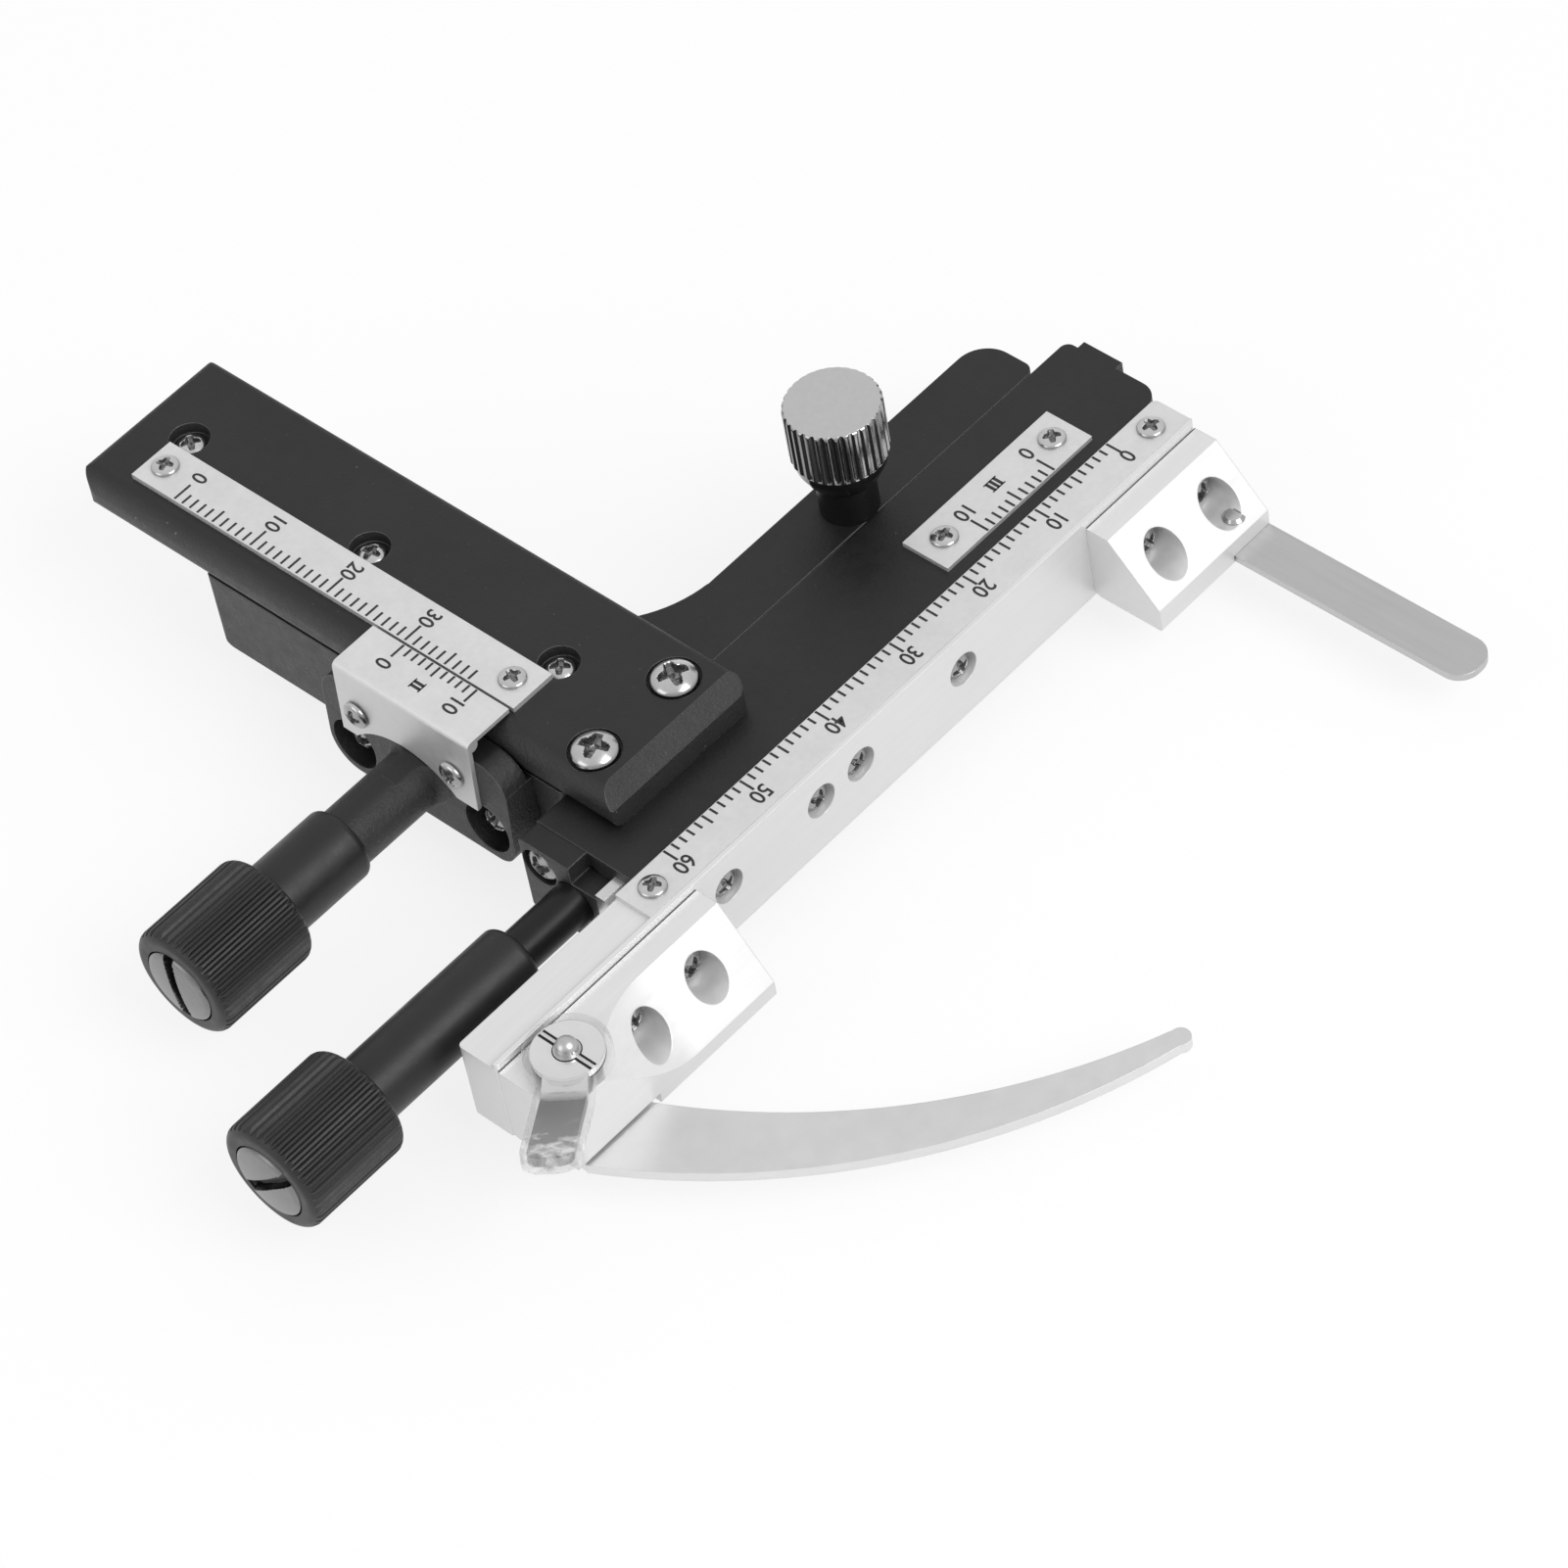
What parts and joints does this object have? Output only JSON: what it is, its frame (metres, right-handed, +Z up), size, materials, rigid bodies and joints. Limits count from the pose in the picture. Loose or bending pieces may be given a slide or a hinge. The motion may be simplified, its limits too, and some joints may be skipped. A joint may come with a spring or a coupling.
{
  "type": "microscope attachable mechanical stage",
  "caption": "Attachable mechanical stage for a microscope: clamp screw, rack-driven arm, cross slide with ruler, two knobs and a sprung slide clip.",
  "frame": {"origin": "underside of the base on the clamp screw's axis", "axes": "+X along the cross slide towards the straight finger, +Y along the arm towards its free end, +Z up"},
  "size_m": [0.1146, 0.12, 0.0274],
  "materials": {
    "black_casting": "semi_matte",
    "black_plastic": "satin",
    "black_steel": "satin",
    "scale_plate": "satin",
    "bright_aluminium": "satin",
    "chromed": "polished",
    "nickel_screws": "polished",
    "steel": "brushed",
    "brass_gear": "satin",
    "clear_vinyl": "clear"
  },
  "bodies": {
    "base": {"base_casting": "black_casting", "clamp_collar": "black_steel", "locating_pins": "steel", "pinion_bracket": "black_casting", "pinion_bracket_screws": "nickel_screws", "y_vernier": "scale_plate", "y_vernier_screws": "nickel_screws"},
    "clamp": {"clamp_screw": "chromed"},
    "y_drive": {"y_shaft": "steel", "y_pinion": "brass_gear", "y_sleeve": "black_plastic", "y_knob": "black_plastic", "y_knob_screw": "black_steel"},
    "arm": {"arm_plate": "black_casting", "rack_bar": "steel", "rack_screws": "nickel_screws", "y_ruler": "scale_plate", "y_ruler_screws": "nickel_screws", "guide_block": "black_casting", "arm_screws": "nickel_screws", "x_vernier": "scale_plate", "x_vernier_screws": "nickel_screws", "bearing_bracket": "black_casting", "bearing_bracket_screw": "nickel_screws"},
    "x_drive": {"lead_screw": "steel", "x_sleeve": "black_plastic", "x_knob": "black_plastic", "x_knob_screw": "black_steel"},
    "x_slide": {"rail": "bright_aluminium", "x_ruler": "scale_plate", "x_ruler_screws": "nickel_screws", "slide_bar": "steel", "slide_bar_screws": "nickel_screws", "fixed_jaw": "bright_aluminium", "fixed_jaw_screws": "nickel_screws", "straight_finger": "steel", "straight_finger_screws": "nickel_screws", "clip_jaw": "bright_aluminium", "clip_jaw_screws": "nickel_screws", "clip_spring": "steel"},
    "clip": {"pivot_stud": "steel", "curved_finger": "steel", "clip_lever": "chromed", "lever_sleeve": "clear_vinyl"}
  },
  "joints": [
    {"name": "clamp_turn", "type": "hinge", "parent": "base", "child": "clamp", "pos_m": [0, 0, 0], "axis": [0, 0, 1], "continuous": true},
    {"name": "y_travel", "type": "slide", "parent": "base", "child": "arm", "axis": [0, -1, 0], "range_m": [0, 0.0305]},
    {"name": "y_knob_turn", "type": "hinge", "parent": "base", "child": "y_drive", "pos_m": [-0.06, 0.0128, 0.0055], "axis": [1, 0, 0], "range_deg": [0, 700]},
    {"name": "x_travel", "type": "slide", "parent": "arm", "child": "x_slide", "axis": [1, 0, 0], "range_m": [-0.0052, 0.0548]},
    {"name": "x_knob_turn", "type": "hinge", "parent": "arm", "child": "x_drive", "pos_m": [-0.06, -0.0089, 0.0052], "axis": [1, 0, 0], "range_deg": [-94, 987]},
    {"name": "clip_swing", "type": "hinge", "parent": "x_slide", "child": "clip", "pos_m": [-0.0627, -0.02365, 0], "axis": [0, 0, -1], "range_deg": [0, 35], "stiffness_Nm_per_rad": 0.05, "springref_deg": -20.05}
  ],
  "couplings": [
    {"joint": "y_knob_turn", "follows": "y_travel", "rad_per_m": 400},
    {"joint": "x_knob_turn", "follows": "x_travel", "rad_per_m": 314.16}
  ]
}
